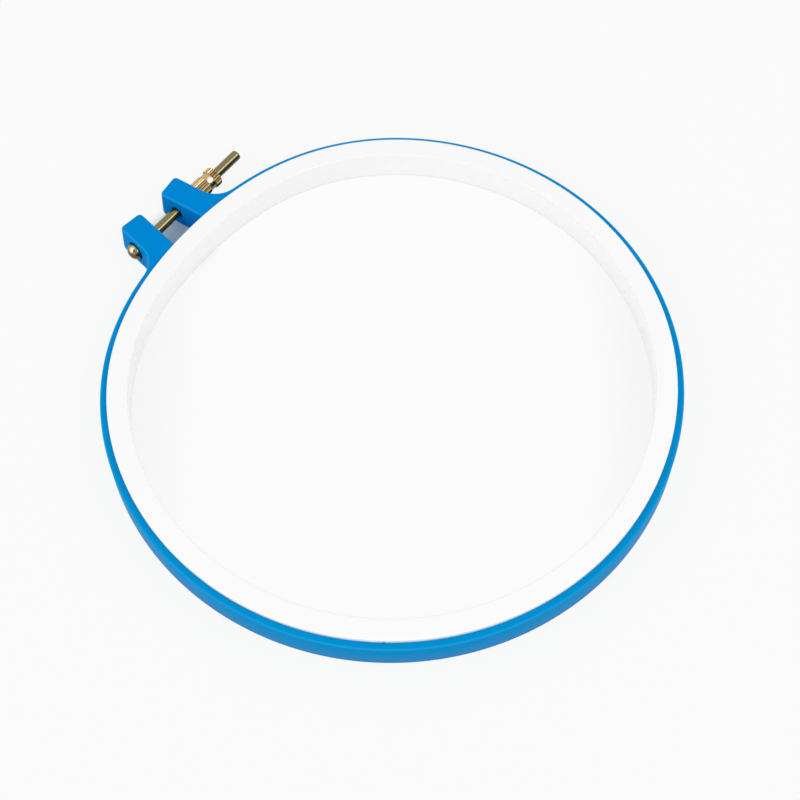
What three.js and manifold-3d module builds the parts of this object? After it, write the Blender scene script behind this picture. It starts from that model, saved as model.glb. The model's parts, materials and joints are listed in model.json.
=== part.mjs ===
// Embroidery hoop: a split outer ring with two clamp lugs, a closed inner ring that presses the
// fabric into it, a domed clamp screw across the lugs and a knurled thumb nut on its free end.
// Millimetres, +Z up. The hoop lies flat, its lugs towards +Y and the nut towards +X.
import * as THREE from 'three';
import { mergeVertices } from 'three/addons/utils/BufferGeometryUtils.js';
import Module from 'manifold-3d';

const wasm = await Module();
wasm.setup();

// The two rings
const INNER_RING_RADIUS = 99.6; // outside of the inner ring, which sets the hoop's nominal size
const INNER_RING_HEIGHT = 13.9;
const INNER_RING_TOP_WIDTH = 7.4;
const INNER_RING_WALL = 1.8;
const INNER_RING_ROOF = 2.0;
const INNER_RING_FOOT_SETBACK = 0.9; // the bore is this much wider at the foot than at the top
const INNER_RING_EDGE = 0.6; // radius of its top edges
const FABRIC_CLEARANCE = 0.3; // between the rings, all round
const OUTER_RING_WALL = 2.3;
const OUTER_RING_HEIGHT = 11.9;
const OUTER_RING_DRAFT = 0.35; // the outside is this much wider at the foot
const OUTER_RING_EDGE = 0.9; // radius of its top edge outside
const OUTER_RING_BORE_EDGE = 0.3; // radius of its top edge inside

// The tightened clamp draws both rings in, in a bell curve centred on the gap
const CLAMP_DRAW_IN = 4.9;
const CLAMP_SPREAD = 30.75; // degrees at which the bell curve has fallen to 1/e

// The lugs, sized at their top and measured along the screw or outwards from the ring's wall
const LUG_GAP = 12.6; // between the lugs, on the screw's line
const LUG_THICKNESS = 9.65;
const LUG_REACH = 17.6;
const LUG_LEAN = 7.2; // degrees by which each lug leans towards the gap
const LUG_DRAFT = 4.5; // degrees by which the lugs widen downwards
const LUG_TOP_EDGE = 0.9;
const LUG_FOOT_EDGE = 2.0;
const LUG_CORNER = 1.6;
const LUG_FILLET = 10.0; // between a lug's outer side and the ring

// The clamp screw, a number 8 machine thread
const SCREW_RADIUS = 2.0;
const SCREW_STANDOFF = 10.4; // from the ring's wall out to the screw's line
const SCREW_FREE_END = 12.8; // stands out past the nut
const SCREW_TIP_ROUND = 0.8;
const HEAD_RADIUS = 3.2;
const HEAD_RIM = 1.0;
const HEAD_DOME = 2.7;
const NECK_SQUARE = 4.2;
const NECK_LENGTH = 2.5;
const BORE_CLEARANCE = 0.35;
const NECK_CLEARANCE = 0.3;
const RECESS_DEPTH = 1.05; // of the round recess that seats the head, and of the one for the nut
const RECESS_CLEARANCE = 0.5;
const SEAT_GAP = 0.3;

// The thumb nut, from its seat outwards
const BARREL_RADIUS = 3.75;
const BARREL_LENGTH = 6.4;
const NUT_NECK_RADIUS = 3.3;
const NUT_NECK_LENGTH = 2.4;
const FLANGE_RADIUS = 3.9;
const FLANGE_LENGTH = 3.0;
const SPLINES = 22;
const SPLINE_DEPTH = 0.4;
const NUT_CHAMFER = 0.3;
const THREAD_CLEARANCE = 0.25;

// Fineness of the curves
const RING_STEPS = 144;
const ROUND_STEPS = 32;
const EDGE_STEPS = 3;
const FILLET_STEPS = 10;
const CORNER_STEPS = 4;

const rad = THREE.MathUtils.degToRad;
const BORE_RADIUS = INNER_RING_RADIUS + FABRIC_CLEARANCE;
const OUTER_RADIUS = BORE_RADIUS + OUTER_RING_WALL;
const SCREW_Y = OUTER_RADIUS - CLAMP_DRAW_IN + SCREW_STANDOFF;
const SCREW_Z = OUTER_RING_HEIGHT / 2;
const LEAN = rad(LUG_LEAN);
const lugDraftAt = (z) => Math.tan(rad(LUG_DRAFT)) * (OUTER_RING_HEIGHT - z);
const SEAT_X = LUG_GAP / 2 + (LUG_THICKNESS + lugDraftAt(SCREW_Z)) / Math.cos(LEAN) - RECESS_DEPTH;
const NUT_LENGTH = BARREL_LENGTH + NUT_NECK_LENGTH + FLANGE_LENGTH;
const PAST = 1; // how far a cutting solid runs past the face that it cuts

// How far the clamp draws a ring in, at an angle from the gap
const drawIn = (angle) => CLAMP_DRAW_IN * Math.exp(-((angle / rad(CLAMP_SPREAD)) ** 2));

// The point of a ring of the given free radius at an angle from the gap
function ringPoint(radius, angle) {
  const drawn = radius - drawIn(angle);
  return new THREE.Vector2(drawn * Math.sin(angle), drawn * Math.cos(angle));
}

// Angles once round a ring, from -180 degrees, with the gap at zero
const ringAngles = Array.from({ length: RING_STEPS }, (_, i) => rad(-180 + (360 * i) / RING_STEPS));

// Points on a quarter of an ellipse, as [across, up] shares that run from [1, 0] to [0, 1]
const quarter = (steps) => Array.from({ length: steps + 1 }, (_, i) => {
  const turn = (Math.PI / 2) * (i / steps);
  return [Math.cos(turn), Math.sin(turn)];
});

// A solid from shared vertices and triangles, turned the right way out
function solidOf(vertices, triangles) {
  const flat = Float32Array.from(vertices.flatMap((v) => [v.x, v.y, v.z]));
  const kept = triangles.filter(([a, b, c]) => a !== b && b !== c && c !== a);
  const volume = kept.reduce(
    (sum, [a, b, c]) => sum + vertices[a].dot(vertices[b].clone().cross(vertices[c])), 0);
  const outward = volume > 0 ? kept : kept.map(([a, b, c]) => [a, c, b]);
  return new wasm.Manifold(new wasm.Mesh({
    numProp: 3, vertProperties: flat, triVerts: Uint32Array.from(outward.flat()),
  }));
}

// A solid from one of three.js's closed geometries, with its shared vertices merged
function solidFrom(geometry) {
  geometry.deleteAttribute('normal');
  geometry.deleteAttribute('uv');
  const merged = mergeVertices(geometry, 1e-4);
  const place = merged.attributes.position;
  const vertices = Array.from({ length: place.count },
    (_, i) => new THREE.Vector3().fromBufferAttribute(place, i));
  const index = merged.index.array;
  const triangles = Array.from({ length: index.length / 3 },
    (_, i) => [index[3 * i], index[3 * i + 1], index[3 * i + 2]]);
  return solidOf(vertices, triangles);
}

// The sides between loops of equally many points, each joined to the next
function sidesOf(loops, closed) {
  const count = loops[0].length;
  const triangles = [];
  const last = closed ? loops.length : loops.length - 1;
  for (let i = 0; i < last; i += 1) {
    const here = i * count;
    const there = ((i + 1) % loops.length) * count;
    for (let j = 0; j < count; j += 1) {
      const k = (j + 1) % count;
      triangles.push([here + j, there + j, there + k], [here + j, there + k, here + k]);
    }
  }
  return triangles;
}

// A solid stacked from level outlines, [{ z, outline }], closed by a flat face at both ends
function stack(levels) {
  const outlines = levels.map(({ outline }) => (
    THREE.ShapeUtils.isClockWise(outline) ? outline.toReversed() : outline));
  const loops = outlines.map((outline, i) => outline.map((p) => new THREE.Vector3(p.x, p.y, levels[i].z)));
  const triangles = sidesOf(loops, false);
  const top = (loops.length - 1) * loops[0].length;
  THREE.ShapeUtils.triangulateShape(outlines[0], []).forEach((face) => triangles.push(face));
  THREE.ShapeUtils.triangulateShape(outlines.at(-1), []).forEach(
    ([a, b, c]) => triangles.push([top + a, top + c, top + b]));
  return solidOf(loops.flat(), triangles);
}

// A disc with the ring's outline, stacked from [radius, z] levels
const disc = (levels) => stack(levels.map(([radius, z]) => ({
  z, outline: ringAngles.map((angle) => ringPoint(radius, angle)),
})));

// A closed [radius, z] section carried once round the ring
function carryRound(section) {
  const loops = ringAngles.map((angle) => section.map(([radius, z]) => {
    const p = ringPoint(radius, angle);
    return new THREE.Vector3(p.x, p.y, z);
  }));
  return solidOf(loops.flat(), sidesOf(loops, true));
}

// A round solid along the screw's line, turned from [x, radius] points that start and end on it
function turned(points) {
  const profile = points.map(([x, radius]) => new THREE.Vector2(radius, x));
  const lathe = new THREE.LatheGeometry(profile, ROUND_STEPS);
  lathe.rotateZ(-Math.PI / 2);
  lathe.translate(0, SCREW_Y, SCREW_Z);
  return solidFrom(lathe);
}

const rod = (from, to, radius) => turned([[from, 0], [from, radius], [to, radius], [to, 0]]);

// A square bar along the screw's line
function squareBar(from, to, side) {
  const bar = new THREE.BoxGeometry(to - from, side, side);
  bar.translate((from + to) / 2, SCREW_Y, SCREW_Z);
  return solidFrom(bar);
}

// A named mesh of a solid
function meshOf(name, solid, material) {
  const { vertProperties, triVerts } = solid.getMesh();
  const geometry = new THREE.BufferGeometry();
  geometry.setAttribute('position', new THREE.BufferAttribute(vertProperties, 3));
  geometry.setIndex(new THREE.BufferAttribute(triVerts, 1));
  geometry.computeVertexNormals();
  const mesh = new THREE.Mesh(geometry, new THREE.MeshStandardMaterial(material));
  mesh.name = name;
  return mesh;
}

// The inner ring: an inverted channel with rounded top edges and a slightly sloping bore
function innerRing() {
  const top = INNER_RING_HEIGHT;
  const outside = INNER_RING_RADIUS;
  const inside = outside - INNER_RING_TOP_WIDTH;
  const foot = inside + INNER_RING_FOOT_SETBACK;
  const round = INNER_RING_EDGE;
  const arc = quarter(EDGE_STEPS);
  const under = top - INNER_RING_ROOF;
  return carryRound([
    [outside, 0],
    ...arc.map(([across, up]) => [outside - round * (1 - across), top - round * (1 - up)]),
    ...arc.toReversed().map(([across, up]) => [inside + round * (1 - across), top - round * (1 - up)]),
    [foot, 0],
    [foot + INNER_RING_WALL, 0],
    [inside + INNER_RING_WALL, under],
    [outside - INNER_RING_WALL, under],
    [outside - INNER_RING_WALL, 0],
  ]);
}

// The nearest point of the outer ring's outside to a point, found by stepping along the curve
function nearestOnRing(point, radius) {
  const step = 1e-5;
  let angle = Math.atan2(point.x, point.y);
  for (let i = 0; i < 20; i += 1) {
    const here = ringPoint(radius, angle);
    const along = ringPoint(radius, angle + step).sub(here).divideScalar(step);
    angle += point.clone().sub(here).dot(along) / along.lengthSq();
  }
  return ringPoint(radius, angle);
}

// A point from a lug's own directions: across from its gap face and out from the screw's line
function fromLug(across, out) {
  return new THREE.Vector2(
    LUG_GAP / 2 + across * Math.cos(LEAN) - out * Math.sin(LEAN),
    SCREW_Y + across * Math.sin(LEAN) + out * Math.cos(LEAN));
}

// The concave fillet from a lug's outer side to the ring's outside, as points of one arc
function filletPoints(side, ringRadius) {
  const gapTo = (out) => {
    const centre = fromLug(side + LUG_FILLET, out);
    return centre.distanceTo(nearestOnRing(centre, ringRadius)) - LUG_FILLET;
  };
  let low = -SCREW_STANDOFF;
  let high = LUG_REACH;
  for (let i = 0; i < 40; i += 1) {
    const middle = (low + high) / 2;
    if (gapTo(middle) > 0) high = middle;
    else low = middle;
  }
  const centre = fromLug(side + LUG_FILLET, low);
  const from = fromLug(side, low).sub(centre).angle();
  const to = nearestOnRing(centre, ringRadius).sub(centre).angle();
  return Array.from({ length: FILLET_STEPS + 1 }, (_, i) => {
    const angle = from + (to - from) * (i / FILLET_STEPS);
    return new THREE.Vector2(Math.cos(angle), Math.sin(angle)).multiplyScalar(LUG_FILLET).add(centre);
  });
}

// A lug's outline where its sides stand out by grow and its end face by growEnd
function lugOutline(grow, growEnd, ringRadius) {
  const end = (LUG_REACH - SCREW_STANDOFF) + growEnd;
  const corner = LUG_CORNER + grow;
  const side = LUG_THICKNESS + grow;
  const root = -(SCREW_STANDOFF + 2 * OUTER_RING_WALL);
  const arc = quarter(CORNER_STEPS);
  const gapCorner = arc.map(([across, up]) =>
    fromLug(-grow + corner * (1 - across), end - corner * (1 - up)));
  const sideCorner = arc.toReversed().map(([across, up]) =>
    fromLug(side - corner * (1 - across), end - corner * (1 - up)));
  const fillet = filletPoints(side, ringRadius);
  const inward = fillet.at(-1).clone().multiplyScalar(1 - (2 * OUTER_RING_WALL) / ringRadius);
  return [fromLug(-grow, root), ...gapCorner, ...sideCorner, ...fillet, inward];
}

// The outer ring's outside radius at a height, with its draft and its rounded top edge
function outsideAt(z) {
  const rise = Math.max(0, z - (OUTER_RING_HEIGHT - OUTER_RING_EDGE));
  const roll = OUTER_RING_EDGE - Math.sqrt(Math.max(0, OUTER_RING_EDGE ** 2 - rise ** 2));
  return OUTER_RADIUS + OUTER_RING_DRAFT * (1 - z / OUTER_RING_HEIGHT) - roll;
}

// The lug on the nut's side, stacked from outlines that widen downwards
function lug() {
  const arc = quarter(EDGE_STEPS);
  const top = OUTER_RING_HEIGHT;
  const footLevels = arc.toReversed().map(([across, up]) => ({
    z: LUG_FOOT_EDGE * (1 - up),
    rollEnd: LUG_FOOT_EDGE * (1 - across),
    roll: 0,
  }));
  const topLevels = arc.map(([across, up]) => ({
    z: top - LUG_TOP_EDGE * (1 - up),
    rollEnd: LUG_TOP_EDGE * (1 - across),
    roll: LUG_TOP_EDGE * (1 - across),
  }));
  return stack([...footLevels, ...topLevels].map(({ z, roll, rollEnd }) => ({
    z, outline: lugOutline(lugDraftAt(z) - roll, lugDraftAt(z) - rollEnd, outsideAt(z)),
  })));
}

// The wedge that splits the ring between the lugs, a little into each of them
function splitWedge() {
  const inset = LUG_THICKNESS / 4;
  const far = LUG_REACH;
  const near = -(SCREW_STANDOFF + 4 * OUTER_RING_WALL);
  const outline = [fromLug(inset, near), fromLug(inset, far)];
  const mirrored = outline.map((p) => new THREE.Vector2(-p.x, p.y)).toReversed();
  return stack([-PAST, OUTER_RING_HEIGHT + PAST].map((z) => ({ z, outline: [...outline, ...mirrored] })));
}

// The outer ring: wall and lugs, bored for the inner ring, the screw, its head and the nut
function outerRing() {
  const top = OUTER_RING_HEIGHT;
  const arc = quarter(EDGE_STEPS).map(([, up]) => up);
  const outside = disc([
    [outsideAt(0), 0],
    ...arc.map((up) => top - OUTER_RING_EDGE * (1 - up)).map((z) => [outsideAt(z), z]),
  ]);
  const bore = disc([
    [BORE_RADIUS, -PAST],
    ...quarter(EDGE_STEPS).map(([across, up]) => [
      BORE_RADIUS + OUTER_RING_BORE_EDGE * (1 - across), top - OUTER_RING_BORE_EDGE * (1 - up)]),
    [BORE_RADIUS + OUTER_RING_BORE_EDGE, top + PAST],
  ]);
  const nutLug = lug();
  const headLug = nutLug.mirror([1, 0, 0]);
  const past = SEAT_X + LUG_THICKNESS;
  const headRecess = rod(-past, -SEAT_X, HEAD_RADIUS + RECESS_CLEARANCE);
  const nutRecess = rod(SEAT_X, past, BARREL_RADIUS + RECESS_CLEARANCE);
  const screwBore = rod(-past, past, SCREW_RADIUS + BORE_CLEARANCE);
  const neckHole = squareBar(
    -SEAT_X - PAST, -SEAT_X + NECK_LENGTH + NECK_CLEARANCE, NECK_SQUARE + 2 * NECK_CLEARANCE);
  return outside.subtract(splitWedge()).add(nutLug).add(headLug).subtract(bore)
    .subtract(headRecess).subtract(nutRecess).subtract(screwBore).subtract(neckHole);
}

// The clamp screw: domed head, square neck in the head lug and a plain shank to a rounded tip
function clampScrew() {
  const seat = -(SEAT_X + SEAT_GAP);
  const tip = SEAT_X + SEAT_GAP + NUT_LENGTH + SCREW_FREE_END;
  const dome = quarter(2 * EDGE_STEPS).toReversed().map(([across, up]) => [
    seat - HEAD_RIM - HEAD_DOME * up, HEAD_RADIUS * across]);
  const end = quarter(EDGE_STEPS).map(([across, up]) => [
    tip - SCREW_TIP_ROUND * (1 - up), SCREW_RADIUS - SCREW_TIP_ROUND * (1 - across)]);
  const shank = turned([...dome, [seat, HEAD_RADIUS], [seat, SCREW_RADIUS], ...end, [tip, 0]]);
  return shank.add(squareBar(seat - HEAD_RIM / 2, seat + NECK_LENGTH, NECK_SQUARE));
}

// The outline of the splines, four points to each, with its flutes cut below the given radius
function splineShape(radius) {
  const shape = [];
  for (let i = 0; i < SPLINES; i += 1) {
    [[0, radius], [0.4, radius], [0.6, radius - SPLINE_DEPTH], [0.8, radius - SPLINE_DEPTH]].forEach(
      ([share, at]) => {
        const angle = (2 * Math.PI * (i + share)) / SPLINES;
        shape.push(new THREE.Vector2(at * Math.cos(angle), at * Math.sin(angle)));
      });
  }
  return new THREE.Shape(shape);
}

// The thumb nut: a splined bar turned down to a barrel, a neck and a flange, and bored
function thumbNut() {
  const seat = SEAT_X + SEAT_GAP;
  const bar = new THREE.ExtrudeGeometry(splineShape(FLANGE_RADIUS), {
    depth: NUT_LENGTH + 2 * PAST, bevelEnabled: false,
  });
  bar.rotateY(Math.PI / 2);
  bar.translate(seat - PAST, SCREW_Y, SCREW_Z);
  const neck = seat + BARREL_LENGTH;
  const flange = neck + NUT_NECK_LENGTH;
  const end = flange + FLANGE_LENGTH;
  const c = NUT_CHAMFER;
  const envelope = turned([
    [seat, 0],
    [seat, BARREL_RADIUS - c], [seat + c, BARREL_RADIUS],
    [neck - c, BARREL_RADIUS], [neck, BARREL_RADIUS - c],
    [neck, NUT_NECK_RADIUS], [flange, NUT_NECK_RADIUS],
    [flange, FLANGE_RADIUS - c], [flange + c, FLANGE_RADIUS],
    [end - c, FLANGE_RADIUS], [end, FLANGE_RADIUS - c],
    [end, 0],
  ]);
  return solidFrom(bar).intersect(envelope)
    .subtract(rod(seat - PAST, end + PAST, SCREW_RADIUS + THREAD_CLEARANCE));
}

const bluePlastic = { color: 0x0a86d6, roughness: 0.35, metalness: 0 };
const whitePlastic = { color: 0xf2f3f4, roughness: 0.4, metalness: 0 };
const brass = { color: 0xb79a4e, roughness: 0.28, metalness: 1 };
const paleBrass = { color: 0xd2a765, roughness: 0.25, metalness: 1 };

// The hoop stands on its flat foot with the middle of its outline at the origin
const outer = meshOf('outer_ring', outerRing(), bluePlastic);
outer.geometry.computeBoundingBox();
const middle = outer.geometry.boundingBox.getCenter(new THREE.Vector3());

const hoop = new THREE.Group();
hoop.position.set(-middle.x, -middle.y, 0);
hoop.add(
  outer,
  meshOf('inner_ring', innerRing(), whitePlastic),
  meshOf('clamp_screw', clampScrew(), brass),
  meshOf('thumb_nut', thumbNut(), paleBrass),
);

const assembly = new THREE.Group();
assembly.add(hoop);

export default assembly;
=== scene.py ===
"""An embroidery hoop, dressed as its photograph shows it.

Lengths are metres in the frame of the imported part: the hoop lies flat on z = 0 with its clamp lugs
towards +Y and its thumb nut towards +X. Each piece is a surface worked out with numpy from a few named
sizes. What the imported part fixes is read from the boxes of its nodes.
"""

import json
import math

import bmesh
import bpy
import numpy as np
from bpy.props import FloatProperty, FloatVectorProperty, IntProperty, PointerProperty
from mathutils import Matrix, Vector

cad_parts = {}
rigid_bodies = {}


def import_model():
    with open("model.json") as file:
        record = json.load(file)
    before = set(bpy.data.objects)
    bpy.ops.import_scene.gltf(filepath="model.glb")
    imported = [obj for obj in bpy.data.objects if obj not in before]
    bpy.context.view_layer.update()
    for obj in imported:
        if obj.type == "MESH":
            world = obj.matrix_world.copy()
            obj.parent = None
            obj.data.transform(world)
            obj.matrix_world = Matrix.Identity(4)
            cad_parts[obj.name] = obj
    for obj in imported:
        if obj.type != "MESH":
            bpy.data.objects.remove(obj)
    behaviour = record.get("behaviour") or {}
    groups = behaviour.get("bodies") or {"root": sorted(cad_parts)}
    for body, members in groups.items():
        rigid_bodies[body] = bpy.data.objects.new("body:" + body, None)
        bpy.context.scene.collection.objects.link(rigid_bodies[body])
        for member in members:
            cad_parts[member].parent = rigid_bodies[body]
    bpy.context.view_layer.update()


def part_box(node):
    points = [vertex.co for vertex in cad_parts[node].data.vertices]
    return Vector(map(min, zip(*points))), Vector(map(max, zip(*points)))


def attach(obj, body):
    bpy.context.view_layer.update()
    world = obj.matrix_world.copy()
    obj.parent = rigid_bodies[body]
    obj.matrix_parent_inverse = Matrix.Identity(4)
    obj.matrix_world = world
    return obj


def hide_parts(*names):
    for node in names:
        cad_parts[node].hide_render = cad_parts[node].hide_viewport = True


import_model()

bl_info = {
    "name": "Embroidery hoop",
    "version": (1, 0, 0),
    "blender": (4, 5, 0),
    "location": "3D View > Sidebar > Hoop",
    "description": "Builds a screw-tension embroidery hoop and its stage",
    "category": "Add Mesh",
}

MM = 0.001

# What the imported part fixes
INNER_LOW, INNER_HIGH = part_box("inner_ring")
OUTER_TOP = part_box("outer_ring")[1].z
SCREW_LOW, SCREW_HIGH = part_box("clamp_screw")
NUT_LOW, NUT_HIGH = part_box("thumb_nut")
INNER_RADIUS = INNER_HIGH.x
RING_CENTRE_Y = INNER_LOW.y + INNER_RADIUS
SCREW_Y = (SCREW_LOW.y + SCREW_HIGH.y) / 2
SCREW_Z = (SCREW_LOW.z + SCREW_HIGH.z) / 2
HEAD_RADIUS = (SCREW_HIGH.z - SCREW_LOW.z) / 2
FLANGE_RADIUS = (NUT_HIGH.z - NUT_LOW.z) / 2

LAMP_DISTANCE = 2.0
WHITE = (1.0, 1.0, 1.0, 1.0)

# How finely the surfaces are stepped and worked out
RING_STEPS = 720
ROUND_STEPS = 96
EDGE_STEPS = 8
SPLINE_STEPS = 12
THREAD_STEPS = 10
GATE_STEPS = 25
NEWTON_STEPS = 20
HALVINGS = 40
SMOOTH_ANGLE = math.radians(32)
MERGE_DISTANCE = 1e-6
GROOVES = "groove"


def number(name, description, default, **rest):
    """A plain number that a user may change."""
    return FloatProperty(name=name, description=description, default=default, **rest)


def length(name, description, millimetres):
    """A length that a user may change."""
    return number(name, description, millimetres * MM, unit="LENGTH", precision=5)


def angle(name, description, degrees):
    """An angle that a user may change."""
    return number(name, description, math.radians(degrees), subtype="ANGLE")


def share(name, description, default):
    """A share between nothing and all that a user may change."""
    return number(name, description, default, min=0.0, max=1.0, subtype="FACTOR")


def colour(name, description, red, green, blue):
    """A linear colour that a user may change."""
    return FloatVectorProperty(
        name=name, description=description, default=(red, green, blue, 1.0), size=4,
        min=0.0, max=1.0, subtype="COLOR")


class HoopRingSizes(bpy.types.PropertyGroup):
    """Sizes of the two rings and of how the clamp draws them in."""

    inner_top_width: length("Inner top width", "Width of the inner ring's flat top", 7.4)
    inner_wall: length("Inner wall", "Thickness of the inner ring's two walls", 1.8)
    inner_roof: length("Inner roof", "Thickness of the inner ring's top", 2.0)
    inner_foot_setback: length("Inner setback", "How much wider the bore is at the foot", 0.9)
    inner_edge: length("Inner edge", "Radius of the inner ring's top edge outside", 0.6)
    inner_bore_edge: length("Inner bore edge", "Radius of the inner ring's top edge inside", 0.35)
    fabric_clearance: length("Fabric clearance", "Room between the rings", 0.05)
    outer_wall: length("Outer wall", "Thickness of the outer ring at its top", 2.55)
    outer_draft: length("Outer draft", "How much wider the outer ring is at its foot", 0.35)
    outer_edge: length("Outer edge", "Radius of the outer ring's top edge outside", 0.9)
    bore_edge: length("Bore edge", "Radius of the outer ring's top edge inside", 0.12)
    foot_edge: length("Foot edge", "Radius of the edges that stand on the table", 0.25)
    draw_in: length("Draw-in", "How far the clamp draws the rings in at the gap", 4.9)
    spread: angle("Spread", "Angle from the gap at which the draw-in has fallen to 1/e", 30.75)
    gate_angle: angle("Gate angle", "Angle from the gap of the gate mark in the inner ring's bore", 54.6)
    gate_height: length("Gate height", "Height of the gate mark", 7.4)
    gate_radius: length("Gate radius", "Half width of the gate mark", 1.2)
    gate_depth: length("Gate depth", "Depth of the gate mark", 0.25)


class HoopLugSizes(bpy.types.PropertyGroup):
    """Sizes of the clamp lugs and their cuts."""

    gap: length("Gap", "Room between the lugs on the screw's line", 12.6)
    thickness: length("Thickness", "Thickness of a lug at its top", 9.65)
    reach: length("Reach", "How far a lug stands out from the ring", 17.58)
    standoff: length("Standoff", "From the ring's outside to the screw's line", 10.4)
    lean: angle("Lean", "How far each lug leans towards the gap", 7.2)
    draft: angle("Draft", "How much the lugs' faces widen downwards", 4.5)
    top_edge: length("Top edge", "Radius of the lugs' top edges", 0.9)
    foot_edge: length("End foot edge", "Radius where a lug's end meets its underside", 2.0)
    corner: length("Corner", "Radius of the lugs' upright corners", 1.6)
    fillet: length("Fillet", "Radius between a lug's outer side and the ring", 10.0)
    recess_clearance: length("Recess clearance", "Room round the head and the nut in their seats", 0.5)
    recess_edge: length("Recess edge", "Radius between a seat's floor and its wall", 0.25)
    seat_gap: length("Seat gap", "Room under the head and under the nut", 0.3)


class HoopScrewSizes(bpy.types.PropertyGroup):
    """Sizes of the clamp screw."""

    radius: length("Radius", "Radius of the screw over its thread", 2.0)
    pitch: length("Pitch", "Distance between two turns of the thread", 0.79375)
    thread_depth: length("Thread depth", "From the thread's flat crest to its root", 0.01)
    tip_round: length("Tip rounding", "Radius of the screw's tip", 0.8)
    head_rim: length("Head rim", "Height of the head's straight edge", 1.0)
    rim_edge: length("Rim edge", "Radius of the rim's lower edge", 0.2)
    neck_square: length("Neck square", "Width of the square neck under the head", 4.2)
    neck_length: length("Neck length", "Length of the square neck", 2.5)
    neck_clearance: length("Neck clearance", "Room between the neck and its square hole", 0.3)
    bore_clearance: length("Bore clearance", "Room between the screw and its bore", 0.35)


class HoopNutSizes(bpy.types.PropertyGroup):
    """Sizes of the thumb nut, from its seat outwards."""

    barrel_radius: length("Barrel radius", "Radius of the knurled barrel", 3.75)
    barrel_length: length("Barrel length", "Length of the knurled barrel", 6.4)
    neck_radius: length("Neck radius", "Radius of the smooth neck", 3.4)
    neck_length: length("Neck length", "Length of the smooth neck", 2.4)
    chamfer: length("Chamfer", "Width of the chamfers on the barrel and the flange", 0.3)
    splines: IntProperty(name="Splines", description="Number of straight knurls", default=22, min=6)
    spline_depth: length("Spline depth", "Depth of the straight knurls", 0.45)
    thread_clearance: length("Thread clearance", "Room between the screw and the nut's bore", 0.14)


class HoopFinish(bpy.types.PropertyGroup):
    """Colours and surface of the plastic and the brass."""

    blue: colour("Blue", "Colour of the outer ring", 0.0005, 0.275, 0.62)
    blue_lugs: colour("Blue lugs", "Colour of the clamp lugs", 0.0005, 0.235, 0.64)
    # Painted highlight along the outer ring's rounded top edge
    blue_edge_highlight: colour("Blue edge", "Colour of the outer ring's rounded top edge", 0.010, 0.315, 0.68)
    # Painted reflection of the pale floor on the outer ring's wall low down
    blue_foot_floor_reflection: colour("Blue foot", "Colour of the outer ring's wall at its foot", 0.035, 0.255, 0.56)
    white: colour("White", "Colour of the inner ring's walls", 0.975, 0.975, 0.975)
    # Painted shade: the flat top is coloured darker than the walls
    white_top_painted_shade: colour("White top", "Colour of the inner ring's flat top", 0.935, 0.935, 0.935)
    # Painted shade on the inner ring's walls, deepest near the table
    white_low_painted_shade: colour("White low down", "Colour of the inner ring's walls low down", 0.94, 0.94, 0.94)
    # Painted contact shadow along the inner ring's foot
    white_foot_painted_shadow: colour("White foot", "Colour of the inner ring's foot", 0.84, 0.84, 0.84)
    mark: colour("Mark", "Colour of the small mark on the inner ring", 0.05, 0.11, 0.14)
    mark_angle: angle("Mark angle", "Angle from the gap of the mark beside the outer ring", -126.98)
    mark_radius: length("Mark radius", "Half width of the mark", 0.55)
    screw_brass: colour("Screw brass", "Colour of the clamp screw", 0.235, 0.205, 0.092)
    screw_tarnish: colour("Screw tarnish", "Colour of the clamp screw's stains", 0.24, 0.17, 0.07)
    # Painted highlight on the screw's head
    screw_painted_highlight: colour("Screw worn", "Colour of the bright patch on the screw's head", 0.78, 0.72, 0.48)
    # Painted shade and dark reflection on the clamp screw's underside
    screw_under_shade: colour("Screw underside", "Colour of the clamp screw's underside", 0.12, 0.105, 0.055)
    nut_brass: colour("Nut brass", "Colour of the thumb nut", 0.84, 0.65, 0.34)
    nut_tarnish: colour("Nut tarnish", "Colour of the thumb nut's stains", 0.20, 0.09, 0.025)
    # Painted highlight on the thumb nut's neck
    nut_painted_highlight: colour("Nut worn", "Colour of the bright patch on the thumb nut's neck", 0.95, 0.87, 0.72)
    # Painted shade and dark reflection on the thumb nut's underside
    nut_under_shade: colour("Nut underside", "Colour of the thumb nut's underside", 0.20, 0.15, 0.06)
    blue_roughness: share("Blue roughness", "Roughness of the blue plastic", 0.34)
    white_roughness: share("White roughness", "Roughness of the white plastic", 0.5)
    brass_roughness: share("Brass roughness", "Roughness of the brass", 0.14)


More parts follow.
